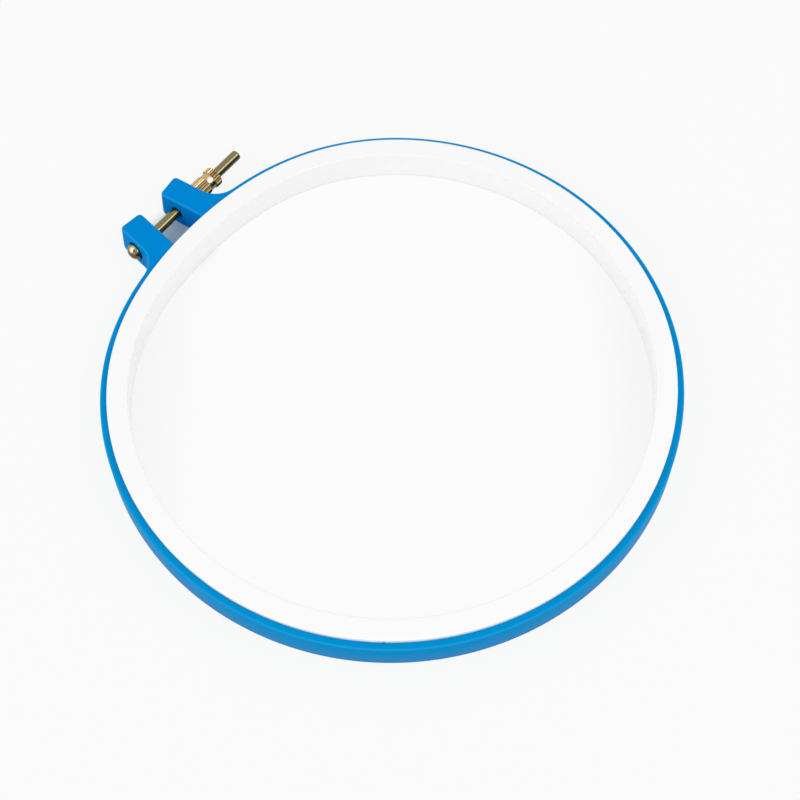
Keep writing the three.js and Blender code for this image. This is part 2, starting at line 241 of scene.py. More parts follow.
class HoopStage(bpy.types.PropertyGroup):
    """The camera of the photograph, the floor and the lamps."""

    elevation: angle("Elevation", "How far above the table the camera looks from", 61.93)
    azimuth: angle("Azimuth", "Direction of the camera round the hoop", -51.8)
    distance: length("Distance", "From the camera to the rings' centre on the table", 521.65)
    lens: number("Lens", "Focal length in mm", 65.74, unit="CAMERA")
    aim_right: length("Aim right", "How far the camera is moved to its right", 3.04)
    aim_up: length("Aim up", "How far the camera is moved up", -5.18)
    floor_size: length("Floor size", "Width of the floor", 40000.0)
    floor_colour: colour("Floor colour", "Colour of the floor", 0.94, 0.94, 0.94)
    backdrop: share("Backdrop", "Brightness of the floor and the backdrop to the camera", 0.956)
    # Painted light: the floor inside the rings is brighter than the backdrop
    painted_opening_brightness: share("Opening", "Brightness of the floor inside the rings to the camera", 0.973)
    # Painted shade on the floor at the left and right inside the rings
    sides: share("Sides", "Brightness of the floor at the left and right inside the rings", 0.915)
    shadow_share: share("Shadow", "How much of the floor's shadow shows", 0.06)
    # Painted shade: the floor between the lugs is coloured darker and bluer
    gap_painted_shade: colour("Gap colour", "Colour of the shaded floor between the lugs", 0.62, 0.74, 0.82)
    horizon: number("Horizon", "Mean strength of the sky at the horizon", 0.52)
    rise: number("Rise", "How much stronger the sky is overhead", 0.30)
    front: number("Front", "How much stronger it is behind the camera", 0.02)
    strip_power: number("Strip", "Power of the strip lamp", 10.3, unit="POWER")
    fill_power: number("Fill", "Power of the fill lamp", 9.0, unit="POWER")


def ring_draw_in(rings, turn):
    """How far the clamp draws a ring in: a bell curve, draw_in * exp(-(turn / spread) ** 2)."""
    return rings.draw_in * np.exp(-((turn / rings.spread) ** 2))


def ring_point(rings, radius, turn):
    """Points of a ring: its free radius less the draw-in, at an angle from the gap, as [..., (x, y)]."""
    drawn = radius - ring_draw_in(rings, turn)
    return np.stack([drawn * np.sin(turn), RING_CENTRE_Y + drawn * np.cos(turn)], axis=-1)


def roll(rise, edge):
    """How far a rounded edge has rolled in: edge - sqrt(edge ** 2 - rise ** 2), for a rise up to edge."""
    rise = np.clip(rise, 0, edge)
    return edge - np.sqrt(edge ** 2 - rise ** 2)


def rounding(radius):
    """How far each step of a rounded edge lies from the side it leaves, and from the side it joins."""
    quarter = np.linspace(0, math.pi / 2, EDGE_STEPS + 1)
    return radius * (1 - np.cos(quarter)), radius * (1 - np.sin(quarter))


def object_of(name, data):
    """A linked object at the origin that holds a mesh, a lamp or a camera."""
    made = bpy.data.objects.new(name, data)
    bpy.context.scene.collection.objects.link(made)
    return made


def piece_from_grid(name, points, close_rows=False, close_columns=False):
    """A piece with a vertex at each points[row, column] and a quad between each four neighbours.

    Vertices that meet, as at a pole, are merged, and a shape that is inside out is turned round.
    """
    rows, columns = points.shape[:2]
    ids = np.arange(rows * columns).reshape(rows, columns)
    ids = np.pad(ids, ((0, close_rows), (0, close_columns)), mode="wrap")
    quads = np.stack([ids[:-1, :-1], ids[:-1, 1:], ids[1:, 1:], ids[1:, :-1]], axis=-1).reshape(-1, 4)
    mesh = bpy.data.meshes.new(name)
    mesh.from_pydata(points.reshape(-1, 3).tolist(), [], quads.tolist())
    shape = bmesh.new()
    shape.from_mesh(mesh)
    bmesh.ops.remove_doubles(shape, verts=shape.verts, dist=MERGE_DISTANCE)
    if shape.calc_volume(signed=True) < 0:
        bmesh.ops.reverse_faces(shape, faces=shape.faces)
    shape.to_mesh(mesh)
    shape.free()
    mesh.validate()
    return object_of(name, mesh)


def finish_piece(piece, node, material):
    """Smooths a piece, gives it its material, and lets it stand for a CAD node on that node's body."""
    mesh = piece.data
    mesh.shade_smooth()
    mesh.set_sharp_from_angle(angle=SMOOTH_ANGLE)
    mesh.materials.clear()
    mesh.materials.append(material)
    weighted = piece.modifiers.new("Flat faces stay flat", "WEIGHTED_NORMAL")
    weighted.keep_sharp = True
    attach(piece, node)
    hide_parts(node)


def unit(vectors):
    """Each row brought to a length of one."""
    return vectors / np.linalg.norm(vectors, axis=1, keepdims=True)


def rounded_section(corners, steps):
    """A closed section from rows of (across, up, radius), each corner an arc that touches both sides.

    The arc's centre lies on the corner's bisector, at radius / sin(half the corner's angle).
    """
    corners = np.array(corners)
    place, radius = corners[:, :2], corners[:, 2:]
    back = unit(np.roll(place, 1, axis=0) - place)
    ahead = unit(np.roll(place, -1, axis=0) - place)
    half = np.arccos(np.sum(back * ahead, axis=1, keepdims=True)) / 2
    centre = place + unit(back + ahead) * radius / np.sin(half)
    start = place + back * radius / np.tan(half) - centre
    end = place + ahead * radius / np.tan(half) - centre
    sweep = math.pi - 2 * half
    along = np.linspace(0, 1, steps + 1)[None, :, None]
    near, far = np.sin((1 - along) * sweep[:, None]), np.sin(along * sweep[:, None])
    arcs = (near * start[:, None] + far * end[:, None]) / np.sin(sweep[:, None])
    return (centre[:, None] + arcs).reshape(-1, 2)


def subdivided(section, longest):
    """A closed section whose sides are cut into equal shares, none longer than longest."""
    sides = np.roll(section, -1, axis=0) - section
    counts = np.maximum(1, np.ceil(np.linalg.norm(sides, axis=1) / longest)).astype(int)
    side = np.repeat(np.arange(len(section)), counts)
    first = np.repeat(np.cumsum(counts) - counts, counts)
    part = (np.arange(counts.sum()) - first) / counts[side]
    return section[side] + sides[side] * part[:, None]


def inner_ring_points(rings):
    """The inner ring: an inverted channel section carried once round the drawn-in ring.

    The bore side is pushed outwards at the gate mark, by gate_depth * exp(-(distance / gate_radius) ** 4).
    """
    outside, top = INNER_RADIUS, INNER_HIGH.z
    inside = outside - rings.inner_top_width
    foot = inside + rings.inner_foot_setback
    under = top - rings.inner_roof
    edge, wall, foot_edge = rings.inner_edge, rings.inner_wall, rings.foot_edge
    section = rounded_section([
        (outside, 0, foot_edge), (outside, top, edge),
        (inside, top, rings.inner_bore_edge), (foot, 0, foot_edge),
        (foot + wall, 0, foot_edge), (inside + wall, under, foot_edge),
        (outside - wall, under, foot_edge), (outside - wall, 0, foot_edge),
    ], EDGE_STEPS)
    section = subdivided(section, rings.gate_radius)
    gate_reach = 3 * rings.gate_radius / inside
    fine = rings.gate_angle + np.linspace(-gate_reach, gate_reach, GATE_STEPS)
    turn = np.unique(np.concatenate([np.linspace(-math.pi, math.pi, RING_STEPS, endpoint=False), fine]))
    turn, radius, height = np.broadcast_arrays(turn[:, None], section[:, 0], section[:, 1])
    on_bore = section[:, 0] < foot + foot_edge / 2
    from_gate = np.hypot((turn - rings.gate_angle) * inside, height - rings.gate_height)
    radius = radius + on_bore * rings.gate_depth * np.exp(-((from_gate / rings.gate_radius) ** 4))
    return np.concatenate([ring_point(rings, radius, turn), height[..., None]], axis=-1)


def lug_point(lugs, across, out):
    """Points of the nut's lug, across from its gap face and out from the screw's line, as [..., (x, y)]."""
    across, out = np.broadcast_arrays(across, out)
    cos, sin = math.cos(lugs.lean), math.sin(lugs.lean)
    return np.stack([lugs.gap / 2 + across * cos - out * sin, SCREW_Y + across * sin + out * cos], axis=-1)


def turn_of(place):
    """The angle from the gap at which each place lies."""
    return np.arctan2(place[..., 0], place[..., 1] - RING_CENTRE_Y)


def nearest_turn(rings, radius, place):
    """The angle of the ring's point nearest to each place, by Newton steps along the ring."""
    turn = turn_of(place)
    for _ in range(NEWTON_STEPS):
        drawn = radius - ring_draw_in(rings, turn)
        growth = 2 * turn / rings.spread ** 2 * ring_draw_in(rings, turn)
        cos, sin = np.cos(turn), np.sin(turn)
        tangent = np.stack([growth * sin + drawn * cos, growth * cos - drawn * sin], axis=-1)
        offset = place - ring_point(rings, radius, turn)
        turn = turn + np.sum(offset * tangent, axis=-1) / np.sum(tangent ** 2, axis=-1)
    return turn


def bisected(low, high, is_high):
    """The changeover between low and high for each entry of is_high, by halving the interval."""
    for _ in range(HALVINGS):
        middle = (low + high) / 2
        above = is_high(middle)
        low, high = np.where(above, low, middle), np.where(above, middle, high)
    return (low + high) / 2


def outer_ring_points(rings, lugs):
    """The split outer ring with its lugs, as a closed section at each step from one gap face to the other.

    At each height an outer contour runs up the gap face, over the lug's end and down its outer side, along
    the fillet and half round the ring, and an inner contour follows the bore beside it. The other half is
    its mirror image. Both contours start at the same corner of the gap face, which closes the shape there.
    """
    top, edge, bore_edge, foot = OUTER_TOP, rings.outer_edge, rings.bore_edge, rings.foot_edge
    z = np.unique(np.concatenate([
        rounding(foot)[0], rounding(lugs.foot_edge)[0],
        top - rounding(lugs.top_edge)[1], top - rounding(edge)[1], top - rounding(bore_edge)[1],
    ]).round(7))[:, None]
    foot_roll = roll(foot - z, foot)
    bore = INNER_RADIUS + rings.fabric_clearance
    drafted = bore + rings.outer_wall + rings.outer_draft * (1 - z / top)
    outside = drafted - roll(z - top + edge, edge) - foot_roll
    inside = bore + roll(z - top + bore_edge, bore_edge) + foot_roll
    grow = math.tan(lugs.draft) * (top - z) - roll(z - top + lugs.top_edge, lugs.top_edge) - foot_roll
    end = lugs.reach - lugs.standoff + grow - roll(lugs.foot_edge - z, lugs.foot_edge)
    corner = np.maximum(lugs.corner + grow, edge)
    side = lugs.thickness + grow

    def past_bore(out):
        place = lug_point(lugs, -grow, out)
        from_centre = np.hypot(place[..., 0], place[..., 1] - RING_CENTRE_Y)
        return from_centre > inside - ring_draw_in(rings, turn_of(place))

    def past_fillet(out):
        centre = lug_point(lugs, side + lugs.fillet, out)
        touch = ring_point(rings, outside, nearest_turn(rings, outside, centre))
        return np.linalg.norm(centre - touch, axis=-1) > lugs.fillet

    root = bisected(-2 * lugs.standoff, 0, past_bore)
    start_turn = turn_of(lug_point(lugs, -grow, root))
    low = bisected(-lugs.standoff, lugs.reach, past_fillet)
    centre = lug_point(lugs, side + lugs.fillet, low)
    fillet_turn = nearest_turn(rings, outside, centre)
    arm = lug_point(lugs, side, low) - centre
    reach = ring_point(rings, outside, fillet_turn) - centre
    from_angle = np.arctan2(arm[..., 1], arm[..., 0]) % math.tau
    to_angle = np.arctan2(reach[..., 1], reach[..., 0]) % math.tau

    def steps(count):
        return np.linspace(0, 1, count, endpoint=False)

    short, flat, sweep = steps(EDGE_STEPS), steps(3 * EDGE_STEPS), steps(4 * EDGE_STEPS)
    arc = short * math.pi / 2
    rolled_in, rolled_on = corner * (1 - np.sin(arc)), corner * (1 - np.cos(arc))
    fillet_angle = from_angle + (to_angle - from_angle) * sweep
    on_fillet = lugs.fillet * np.stack([np.cos(fillet_angle), np.sin(fillet_angle)], axis=-1)
    ring_turn = fillet_turn + (math.pi - fillet_turn) * np.linspace(0, 1, RING_STEPS // 2 + 1)
    outer = np.concatenate([
        lug_point(lugs, -grow, root + (end - corner - root) * flat),
        lug_point(lugs, -grow + rolled_on, end - rolled_in),
        lug_point(lugs, corner - grow + (side + grow - 2 * corner) * flat, end),
        lug_point(lugs, side - rolled_in, end - rolled_on),
        lug_point(lugs, side, end - corner + (low - end + corner) * flat),
        centre + on_fillet,
        ring_point(rings, outside, ring_turn),
    ], axis=1)

    # How much of its way to the fillet's end the bore has gone at each of the lug's stretches
    passed = (0.0, 0.06, 0.10, 0.36, 0.40, 0.46, 1.0)
    stretches = (flat, short, flat, short, flat, sweep)
    gone = np.concatenate([a + (b - a) * part for a, b, part in zip(passed, passed[1:], stretches)])
    near_lug = start_turn + (fillet_turn - start_turn) * gone
    inner = ring_point(rings, inside, np.concatenate([near_lug, ring_turn], axis=1))
    section = np.concatenate([outer, inner[::-1]])
    heights = np.concatenate([z, z[::-1]])[:, None] + 0 * section[..., :1]
    half = np.concatenate([section, heights], axis=-1)
    return np.concatenate([half, half[:, -2::-1] * np.array([-1, 1, 1])], axis=1)


def turned_points(profile, turns, roundness):
    """A profile of (x, radius) turned about the screw's line, its radius times roundness[row, angle]."""
    radius = profile[:, 1:] * roundness
    x = profile[:, :1] + 0 * radius
    return np.stack([x, SCREW_Y + radius * np.cos(turns), SCREW_Z + radius * np.sin(turns)], axis=-1)


def squareness(turns):
    """How much further out a square with rounded corners is than its inscribed circle, at each angle."""
    power = 9
    return (np.abs(np.cos(turns)) ** power + np.abs(np.sin(turns)) ** power) ** (-1 / power)


def around(steps):
    """Angles once round the screw's line."""
    return np.linspace(0, math.tau, steps, endpoint=False)


def cut(piece, points):
    """Cuts a grid of points that is closed round the screw's line out of a piece."""
    tool = piece_from_grid("cutter", points, close_columns=True)
    boolean = piece.modifiers.new("Cut", "BOOLEAN")
    boolean.operation = "DIFFERENCE"
    boolean.solver = "EXACT"
    boolean.object = tool
    evaluated = piece.evaluated_get(bpy.context.evaluated_depsgraph_get())
    before = piece.data
    piece.data = bpy.data.meshes.new_from_object(evaluated)
    piece.modifiers.remove(boolean)
    bpy.data.batch_remove((before, tool.data, tool))
    piece.data.name = piece.name
    if not piece.data.polygons:
        raise RuntimeError(f"nothing is left of {piece.name} after the cut")


def lug_cutter_points(lugs, screw, nut):
    """The room for the screw: a seat with a rounded floor in each lug, the square hole and the round bore.

    It is one profile turned about the screw's line, squared where it takes the screw's neck.
    """
    turns = around(ROUND_STEPS)
    seat = NUT_LOW.x - lugs.seat_gap
    past = seat + lugs.thickness
    from_floor, from_wall = rounding(lugs.recess_edge)

    def seat_profile(radius):
        floor = np.stack([seat + from_floor, radius - from_wall], axis=1)
        return np.concatenate([floor, [(past, radius), (past, 0)]])

    bore = screw.radius + screw.bore_clearance
    square = screw.neck_square / 2 + screw.neck_clearance
    neck_end = -seat + screw.neck_length + screw.neck_clearance
    head_side = seat_profile(HEAD_RADIUS + lugs.recess_clearance)[::-1] * np.array([-1, 1])
    nut_side = seat_profile(nut.barrel_radius + lugs.recess_clearance)
    hole = [(-seat, square), (neck_end, square), (neck_end, bore), (seat, bore)]
    profile = np.concatenate([head_side, hole, nut_side])
    on_square = profile[:, 1:] == square
    return turned_points(profile, turns, np.where(on_square, squareness(turns), 1))


def clamp_screw_points(screw):
    """The clamp screw: rows along its line, each a closed loop round it.

    The head is half an ellipse and a straight rim, the neck a rounded square. The shank's radius falls from
    its crest by thread_depth * ((1 + cos(2 pi (x / pitch - turn / 2 pi))) / 2) ** 3, a right-hand helix of
    narrow grooves that fades out at both ends, and the tip is a quarter of a circle.
    """
    turns = around(ROUND_STEPS * 3 // 4)
    quarter = np.linspace(0, math.pi / 2, 2 * EDGE_STEPS + 1)
    from_rim, from_seat = rounding(screw.rim_edge)
    from_shank, from_tip = rounding(screw.tip_round)
    seat = -NUT_LOW.x
    dome = -SCREW_LOW.x + seat - screw.head_rim
    neck = screw.neck_square / 2
    neck_end = seat + screw.neck_length
    thread_start = neck_end + (neck - screw.radius)
    tip = SCREW_HIGH.x
    thread_end = tip - screw.tip_round
    shank = np.arange(thread_start, thread_end, screw.pitch / THREAD_STEPS)
    profile = np.concatenate([
        np.stack([seat - screw.head_rim - dome * np.cos(quarter), HEAD_RADIUS * np.sin(quarter)], axis=1),
        np.stack([seat - from_seat, HEAD_RADIUS - from_rim], axis=1),
        [(seat, neck), (neck_end, neck)],
        np.stack([shank, np.full_like(shank, screw.radius)], axis=1),
        np.stack([tip - from_tip, screw.radius - from_shank], axis=1),
        [(tip, 0)],
    ])
    x = profile[:, :1]
    on_neck = (x >= seat) & (x <= neck_end) & (profile[:, 1:] <= neck)
    fade = np.clip((x - thread_start) / screw.pitch, 0, 1) * np.clip((thread_end - x) / screw.pitch, 0, 1)
    wave = ((1 + np.cos(math.tau * x / screw.pitch - turns)) / 2) ** 3
    threaded = 1 - fade * wave * screw.thread_depth / screw.radius
    return turned_points(profile, turns, np.where(on_neck, squareness(turns), threaded))


def thumb_nut_points(screw, nut):
    """The thumb nut: a closed section from its seat over barrel, neck and flange and back along its bore.

    Straight knurls take spline_depth off the barrel and the flange, by a triangular wave round the nut.
    It is stretched and then kept between 0 and 1, which flattens its crests and roots a little.
    """
    wave_middle, wave_stretch = 0.6, 1.3
    seat, end = NUT_LOW.x, NUT_HIGH.x
    barrel_end = seat + nut.barrel_length
    flange = barrel_end + nut.neck_length
    bore = screw.radius + nut.thread_clearance
    c = nut.chamfer
    fine = c / 4
    section = rounded_section([
        (seat, bore, fine), (seat, nut.barrel_radius - c, fine), (seat + c, nut.barrel_radius, fine),
        (barrel_end - c, nut.barrel_radius, fine), (barrel_end, nut.barrel_radius - c, fine),
        (barrel_end, nut.neck_radius, fine), (flange, nut.neck_radius, fine),
        (flange, FLANGE_RADIUS - c, fine), (flange + c, FLANGE_RADIUS, fine),
        (end - c, FLANGE_RADIUS, fine), (end, FLANGE_RADIUS - c, fine),
        (end, bore + c / 2, fine), (end - c / 2, bore, fine),
    ], EDGE_STEPS // 2)
    section = subdivided(section, nut.neck_length / 3)
    turns = around(nut.splines * SPLINE_STEPS)
    triangles = np.arcsin(np.cos(nut.splines * turns)) / math.pi
    wave = np.clip(wave_middle + wave_stretch * triangles, 0, 1)
    depth = np.clip(section[:, 1:] - nut.neck_radius, 0, None)
    deepest = np.minimum(depth, nut.spline_depth)
    return turned_points(section, turns, 1 - deepest * wave / section[:, 1:])


def feed(tree, node, inputs):
    """Sets a node's inputs, told by name or number, to values, or links them from other nodes' outputs."""
    for label, value in inputs.items():
        if isinstance(value, bpy.types.NodeSocket):
            tree.links.new(value, node.inputs[label])
        else:
            node.inputs[label].default_value = value


def add_node(tree, kind, inputs=None, **settings):
    """A node with some settings, and with its inputs fed."""
    node = tree.nodes.new(kind)
    for name, value in settings.items():
        setattr(node, name, value)
    feed(tree, node, inputs or {})
    return node


def mixed(tree, factor, first, second):
    """The colour between first and second, at a factor."""
    inputs = {0: factor, 6: first, 7: second}
    return add_node(tree, "ShaderNodeMix", inputs, data_type="RGBA").outputs[2]


def maths(tree, operation, first, second=0.0):
    """One arithmetic step between two numbers or sockets."""
    return add_node(tree, "ShaderNodeMath", {0: first, 1: second}, operation=operation).outputs[0]


def vector_maths(tree, operation, first, second):
    """One step between two vectors or sockets that gives a number."""
    node = add_node(tree, "ShaderNodeVectorMath", {0: first, 1: second}, operation=operation)
    return node.outputs["Value"]


def ramp(tree, value, low, high, at_low=0.0, at_high=1.0):
    """A number that goes evenly from at_low to at_high as value goes from low to high."""
    inputs = {"Value": value, "From Min": low, "From Max": high, "To Min": at_low, "To Max": at_high}
    return add_node(tree, "ShaderNodeMapRange", inputs).outputs["Result"]


def noise(tree, place, scale, detail, **more):
    """A noise between 0 and 1, at a scale in waves to the metre, with detail finer octaves."""
    inputs = {"Vector": place, "Scale": scale, "Detail": detail, **more}
    return add_node(tree, "ShaderNodeTexNoise", inputs).outputs["Fac"]


def on_piece(tree):
    """Each point's place on its piece, in metres."""
    return add_node(tree, "ShaderNodeTexCoord").outputs["Object"]


def new_skin(name, inputs):
    """An empty node group with typed inputs that puts out a colour, a roughness and a normal."""
    group = bpy.data.node_groups.new(name, "ShaderNodeTree")
    outputs = {"Colour": "Color", "Roughness": "Float", "Normal": "Vector"}
    for side, sockets in (("INPUT", inputs), ("OUTPUT", outputs)):
        for label, kind in sockets.items():
            group.interface.new_socket(name=label, in_out=side, socket_type="NodeSocket" + kind)
    return group, group.nodes.new("NodeGroupInput").outputs, group.nodes.new("NodeGroupOutput")


def moulded_skin():
    """The skin of moulded plastic: slow changes of shade, a fine satin grain and faint flow lines."""
    found = bpy.data.node_groups.get("Moulded skin")
    if found:
        return found
    most_deep, roughness_swing, grain_share, depth = 0.55, 0.18, 0.35, 0.12 * MM
    group, given, result = new_skin("Moulded skin", {
        "Colour": "Color", "Deep colour": "Color", "Roughness": "Float", "Grain": "Float",
    })
    place = on_piece(group)
    flow = noise(group, place, 38.0, 3.0, Distortion=0.8)
    grain = noise(group, place, 2600.0, 2.0)
    waviness = noise(group, place, 210.0, 1.0)
    deep = maths(group, "MULTIPLY", flow, most_deep)
    swing = maths(group, "MULTIPLY", maths(group, "SUBTRACT", flow, 0.5), roughness_swing)
    relief = maths(group, "ADD", maths(group, "MULTIPLY", grain, grain_share), waviness)
    bump = add_node(group, "ShaderNodeBump", {
        "Strength": given["Grain"], "Distance": depth, "Height": relief,
    })
    feed(group, result, {
        "Colour": mixed(group, deep, given["Colour"], given["Deep colour"]),
        "Roughness": maths(group, "ADD", given["Roughness"], swing),
        "Normal": bump.outputs["Normal"],
    })
    return group


def turned_brass():
    """The skin of turned brass: rings from the tool round the screw's line, stains, and dirt and painted
    shade in its grooves.
    """
    found = bpy.data.node_groups.get("Turned brass")
    if found:
        return found
    clean_below, stained_above, rougher_in_stains, depth = 0.42, 0.68, 0.22, 0.02 * MM
    group, given, result = new_skin("Turned brass", {
        "Colour": "Color", "Tarnish": "Color", "Tarnish amount": "Float", "Roughness": "Float",
        "Tool marks": "Float", "Groove dirt and shade": "Float",
    })
    place = on_piece(group)
    groove = add_node(group, "ShaderNodeAttribute", attribute_name=GROOVES).outputs["Fac"]
    # Dirt and painted shade in the grooves, by how deep each point lies in one
    dirt_and_shade = maths(group, "MULTIPLY", groove, given["Groove dirt and shade"])
    stain = ramp(group, noise(group, place, 260.0, 3.0, Roughness=0.6), clean_below, stained_above)
    stained = maths(group, "MULTIPLY", stain, given["Tarnish amount"])
    mask = maths(group, "MAXIMUM", stained, dirt_and_shade)
    rougher = maths(group, "MULTIPLY", mask, rougher_in_stains)
    rings = add_node(group, "ShaderNodeMapping", {"Vector": place, "Scale": (9000.0, 120.0, 120.0)})
    marks = noise(group, rings.outputs["Vector"], 1.0, 2.0)
    bump = add_node(group, "ShaderNodeBump", {
        "Strength": given["Tool marks"], "Distance": depth, "Height": marks,
    })
    feed(group, result, {
        "Colour": mixed(group, mask, given["Colour"], given["Tarnish"]),
        "Roughness": maths(group, "ADD", given["Roughness"], rougher),
        "Normal": bump.outputs["Normal"],
    })
    return group


def mark_grooves(mesh, share_at):
    """Stores how deep in a groove each vertex lies: share_at of its x and its distance from the line."""
    place = np.empty(3 * len(mesh.vertices), dtype=np.float32)
    mesh.vertices.foreach_get("co", place)
    x, y, z = place.reshape(-1, 3).T
    shares = share_at(x, np.hypot(y - SCREW_Y, z - SCREW_Z))
    mesh.attributes.new(GROOVES, "FLOAT", "POINT").data.foreach_set("value", shares.astype(np.float32))


def skinned_material(name, group, settings, shader):
    """A material whose shader takes colour, roughness and normal from a skin group."""
    material = bpy.data.materials.new(name)
    material.use_nodes = True
    tree = material.node_tree
    skin = add_node(tree, "ShaderNodeGroup", node_tree=group)
    feed(tree, skin, settings)
    feed(tree, tree.nodes["Principled BSDF"], {
        "Base Color": skin.outputs["Colour"], "Roughness": skin.outputs["Roughness"],
        "Normal": skin.outputs["Normal"], **shader,
    })
    return material


def plastic(name, paint, deeper, roughness, grain, shine, sheen=WHITE):
    """Satin moulded plastic in a colour, a little deeper in places, with a shine in the sheen's colour."""
    deep = [part * deeper for part in paint[:3]] + [1.0]
    return skinned_material(name, moulded_skin(), {
        "Colour": paint, "Deep colour": deep, "Roughness": roughness, "Grain": grain,
    }, {"Specular IOR Level": shine, "Specular Tint": sheen})


def tint(material, mask, paint):
    """Mixes a colour into a material's own by a mask."""
    socket = material.node_tree.nodes["Principled BSDF"].inputs["Base Color"]
    own = socket.links[0].from_socket
    material.node_tree.links.new(mixed(material.node_tree, mask, own, paint), socket)


def height_on(tree):
    """Each point's height above the table."""
    return add_node(tree, "ShaderNodeSeparateXYZ", {"Vector": on_piece(tree)}).outputs["Z"]


def height_band(tree, start, full, full_end, end):
    """A mask that rises from none at the height start to all at full, and falls from full_end to end."""
    falling = ramp(tree, height_on(tree), full_end, end, 1.0, 0.0)
    return maths(tree, "MULTIPLY", ramp(tree, height_on(tree), start, full), falling)


def spot(tree, centre, radius, full=0.5):
    """A round mask about a point: all up to a share of the radius, half if none is given, none beyond it."""
    distance = vector_maths(tree, "DISTANCE", on_piece(tree), centre)
    return ramp(tree, distance, full * radius, radius, 1.0, 0.0)


def blue_plastic(finish, edge):
    """The outer ring's plastic: deeper on the lugs, with painted floor reflection low down and a painted
    highlight on its top edge.
    """
    material = plastic("Blue plastic", finish.blue, 0.85, finish.blue_roughness, grain=0.12,
                       shine=0.004, sheen=(0.3, 0.7, 1.0, 1.0))
    tree = material.node_tree
    pale_below, own_above = 0.1 * OUTER_TOP, 0.65 * OUTER_TOP
    on_lugs = spot(tree, (0.0, SCREW_Y, 0.0), 2 * NUT_HIGH.x)
    painted_floor_reflection = ramp(tree, height_on(tree), pale_below, own_above, 1.0, 0.0)
    beside_lugs = maths(tree, "SUBTRACT", 1.0, on_lugs)

    # Painted highlight on the rounded top edge: where it starts, is full, fades and ends, in edge radii down
    # from the top
    rim = height_band(tree, *(OUTER_TOP - down * edge for down in (1.1, 0.6, 0.2, 0.02)))
    tint(material, on_lugs, finish.blue_lugs)
    # Painted floor reflection, paler towards the foot, kept off the lugs
    tint(material, maths(tree, "MULTIPLY", painted_floor_reflection, beside_lugs), finish.blue_foot_floor_reflection)
    tint(material, rim, finish.blue_edge_highlight)
    return material


def white_plastic(finish):
    """The inner ring's plastic: painted shade on its top, on its lower walls and at its foot, and one small
    mark.
    """
    material = plastic("White plastic", finish.white, 0.98, finish.white_roughness, grain=0.08, shine=0.2)
    tree = material.node_tree
    top = INNER_HIGH.z
    wall_end, top_start = 0.98 * top, 0.995 * top
    low_full, low_end = 0.1 * top, 0.9 * top
    foot_full, foot_end = 0.03 * top, 0.06 * top
    mark = (INNER_RADIUS * math.sin(finish.mark_angle),
            RING_CENTRE_Y + INNER_RADIUS * math.cos(finish.mark_angle), OUTER_TOP)
    # Painted shade on the flat top
    tint(material, ramp(tree, height_on(tree), wall_end, top_start), finish.white_top_painted_shade)
    # Painted shade on the walls, fading upwards
    tint(material, ramp(tree, height_on(tree), low_full, low_end, 1.0, 0.0), finish.white_low_painted_shade)
    # Painted contact shadow at the foot
    tint(material, ramp(tree, height_on(tree), foot_full, foot_end, 1.0, 0.0), finish.white_foot_painted_shadow)
    tint(material, spot(tree, mark, finish.mark_radius), finish.mark)
    return material


def brass(name, paints, radius, roughness, amount, dirt_and_shade):
    """Turned brass with paints for the metal, its stains and the painted shade on its underside, with dirt
    and painted shade in its grooves.

    The painted underside shade begins a little above the screw's line, by shares of the given radius.
    """
    metal, stain, under = paints
    material = skinned_material(name, turned_brass(), {
        "Colour": metal, "Tarnish": stain, "Tarnish amount": amount, "Roughness": roughness,
        "Tool marks": 0.03, "Groove dirt and shade": dirt_and_shade,
    }, {"Metallic": 1.0})
    # Painted shade on the underside, from a little above the screw's line downwards
    low, high = SCREW_Z + 0.62 * radius, SCREW_Z + 0.82 * radius
    tint(material, height_band(material.node_tree, SCREW_LOW.z - radius, SCREW_LOW.z, low, high), under)
    return material


class HOOP_OT_outer_ring(bpy.types.Operator):
    """Builds the split outer ring with its two clamp lugs"""

    bl_idname = "hoop.outer_ring"
    bl_label = "Outer ring"

    def execute(self, context):
        scene = context.scene
        points = outer_ring_points(scene.hoop_rings, scene.hoop_lugs)
        piece = piece_from_grid("blue_outer_ring", points, close_rows=True)
        cut(piece, lug_cutter_points(scene.hoop_lugs, scene.hoop_screw, scene.hoop_nut))
        material = blue_plastic(scene.hoop_finish, scene.hoop_rings.outer_edge)
        finish_piece(piece, "outer_ring", material)
        return {"FINISHED"}


class HOOP_OT_inner_ring(bpy.types.Operator):
    """Builds the closed inner ring"""

    bl_idname = "hoop.inner_ring"
    bl_label = "Inner ring"

    def execute(self, context):
        scene = context.scene
        points = inner_ring_points(scene.hoop_rings)
        piece = piece_from_grid("white_inner_ring", points, close_rows=True, close_columns=True)
        finish_piece(piece, "inner_ring", white_plastic(scene.hoop_finish))
        return {"FINISHED"}


